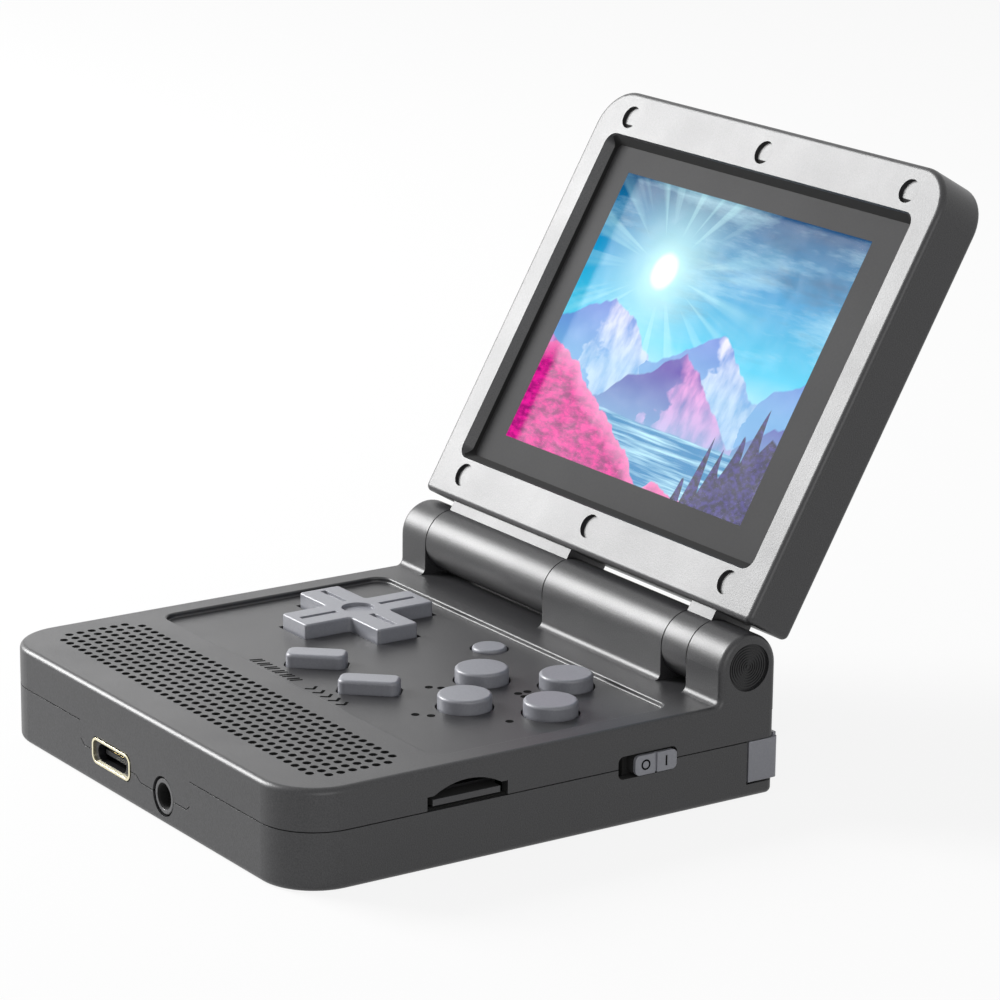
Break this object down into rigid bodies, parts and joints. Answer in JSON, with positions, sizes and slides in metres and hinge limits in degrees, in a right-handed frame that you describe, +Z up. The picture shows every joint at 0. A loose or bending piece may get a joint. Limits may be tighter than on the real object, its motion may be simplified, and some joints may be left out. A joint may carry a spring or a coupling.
{
  "type": "clamshell handheld game console",
  "caption": "Folding handheld game console, opened, with direction pad, round action keys, speaker grille, hinged picture lid, side slider, card slot, charging socket and headphone jack.",
  "frame": {"origin": "centre of the underside of the base, on the surface it stands on", "axes": "+X to the right of the player, +Y to the rear where the hinge is, +Z up out of the deck"},
  "size_m": [0.085, 0.117, 0.0868],
  "materials": {
    "graphite_case": "satin charcoal moulding with fine grain",
    "grey_key": "satin blue-grey moulding",
    "dark_trim": "satin black moulding",
    "steel": "bright steel",
    "socket_gold": "pale gold plated shell",
    "spring_steel": "spring wire",
    "silicone": "translucent grey silicone",
    "foam": "black foam",
    "circuit_board": "green solder mask",
    "chip_black": "moulded chip package",
    "connector_cream": "cream connector moulding",
    "battery_wrap": "printed cell wrap",
    "ribbon_flex": "amber flexible film",
    "lens_glass": "clear lens with grey printed border",
    "picture_panel": "lit picture panel",
    "backlight_metal": "pressed tray",
    "card_body": "charcoal card moulding"
  },
  "bodies": {
    "base": {"base_top_shell": "graphite_case", "base_bottom_shell": "graphite_case", "base_screws": "steel", "battery_cover": "graphite_case", "battery_cover_screw": "steel", "battery": "battery_wrap", "main_board": "circuit_board", "board_chips": "chip_black", "ribbon_connector": "connector_cream", "usb_socket": "socket_gold", "usb_block": "chip_black", "usb_tongue": "chip_black", "headphone_jack": "dark_trim", "card_socket": "dark_trim", "power_switch": "steel", "volume_dial": "dark_trim", "speakers": "dark_trim", "speaker_gaskets": "foam", "dpad_rubber_pad": "silicone", "key_rubber_pad": "silicone", "option_rubber_pad": "silicone", "menu_switch": "steel", "shoulder_pins": "steel", "shoulder_springs": "spring_steel", "shoulder_switches": "chip_black", "hinge_cam": "steel", "hinge_bushing": "dark_trim", "hinge_pin": "steel", "hinge_caps": "dark_trim", "ribbon_cable_base": "ribbon_flex"},
    "lid": {"lid_back_shell": "graphite_case", "lid_front_frame": "graphite_case", "lid_screws": "steel", "lid_screw_plugs": "graphite_case", "screen_lens": "lens_glass", "lcd_panel": "picture_panel", "lcd_backlight": "backlight_metal", "lcd_foam_pad": "foam", "hinge_click_unit": "steel", "ribbon_cable_lid": "ribbon_flex"},
    "memory_card": {"memory_card": "card_body"},
    "power_slider": {"power_slider": "grey_key", "switch_actuator": "chip_black"},
    "volume_wheel": {"volume_wheel": "grey_key"},
    "dpad_stud": {"dpad_pivot_stud": "grey_key"},
    "dpad": {"dpad": "grey_key"},
    "right_key": {"right_key": "grey_key"},
    "front_key": {"front_key": "grey_key"},
    "left_key": {"left_key": "grey_key"},
    "rear_key": {"rear_key": "grey_key"},
    "select_key": {"select_key": "grey_key"},
    "start_key": {"start_key": "grey_key"},
    "menu_key": {"menu_key": "grey_key"},
    "left_shoulder": {"left_shoulder_button": "grey_key"},
    "right_shoulder": {"right_shoulder_button": "grey_key"}
  },
  "joints": [
    {"name": "lid_hinge", "type": "hinge", "parent": "base", "child": "lid", "pos_m": [0, 0.03525, 0.0196], "axis": [1, 0, 0], "range_deg": [-35, 120]},
    {"name": "card_slide", "type": "slide", "parent": "base", "child": "memory_card", "axis": [1, 0, 0], "range_m": [0, 0.012]},
    {"name": "power_slide", "type": "slide", "parent": "base", "child": "power_slider", "axis": [0, -1, 0], "range_m": [0, 0.0023]},
    {"name": "volume_turn", "type": "hinge", "parent": "base", "child": "volume_wheel", "pos_m": [-0.03665, -0.013, 0.00915], "axis": [0, 0, 1], "range_deg": [-150, 150]},
    {"name": "dpad_left_right", "type": "hinge", "parent": "base", "child": "dpad_stud", "pos_m": [-0.0219, 0.01, 0.01087], "axis": [0, 1, 0], "range_deg": [-3.5, 3.5], "stiffness_Nm_per_rad": 0.2, "deforming": ["dpad_rubber_pad"]},
    {"name": "dpad_up_down", "type": "hinge", "parent": "dpad_stud", "child": "dpad", "pos_m": [-0.0219, 0.01, 0.01087], "axis": [1, 0, 0], "range_deg": [-3.5, 3.5], "stiffness_Nm_per_rad": 0.2, "deforming": ["dpad_rubber_pad"]},
    {"name": "right_key_press", "type": "slide", "parent": "base", "child": "right_key", "axis": [0, 0, -1], "range_m": [0, 0.001], "stiffness_N_per_m": 280, "deforming": ["key_rubber_pad"]},
    {"name": "front_key_press", "type": "slide", "parent": "base", "child": "front_key", "axis": [0, 0, -1], "range_m": [0, 0.001], "stiffness_N_per_m": 280, "deforming": ["key_rubber_pad"]},
    {"name": "left_key_press", "type": "slide", "parent": "base", "child": "left_key", "axis": [0, 0, -1], "range_m": [0, 0.001], "stiffness_N_per_m": 280, "deforming": ["key_rubber_pad"]},
    {"name": "rear_key_press", "type": "slide", "parent": "base", "child": "rear_key", "axis": [0, 0, -1], "range_m": [0, 0.001], "stiffness_N_per_m": 280, "deforming": ["key_rubber_pad"]},
    {"name": "select_press", "type": "slide", "parent": "base", "child": "select_key", "axis": [0, 0, -1], "range_m": [0, 0.001], "stiffness_N_per_m": 250, "deforming": ["option_rubber_pad"]},
    {"name": "start_press", "type": "slide", "parent": "base", "child": "start_key", "axis": [0, 0, -1], "range_m": [0, 0.001], "stiffness_N_per_m": 250, "deforming": ["option_rubber_pad"]},
    {"name": "menu_press", "type": "slide", "parent": "base", "child": "menu_key", "axis": [0, 0, -1], "range_m": [0, 0.00035], "stiffness_N_per_m": 900},
    {"name": "left_shoulder_press", "type": "hinge", "parent": "base", "child": "left_shoulder", "pos_m": [-0.0396, 0.0375, 0.0055], "axis": [0, 0, -1], "range_deg": [0, 3.5], "stiffness_Nm_per_rad": 0.25, "deforming": ["shoulder_springs"]},
    {"name": "right_shoulder_press", "type": "hinge", "parent": "base", "child": "right_shoulder", "pos_m": [0.0396, 0.0375, 0.0055], "axis": [0, 0, 1], "range_deg": [0, 3.5], "stiffness_Nm_per_rad": 0.25, "deforming": ["shoulder_springs"]}
  ]
}
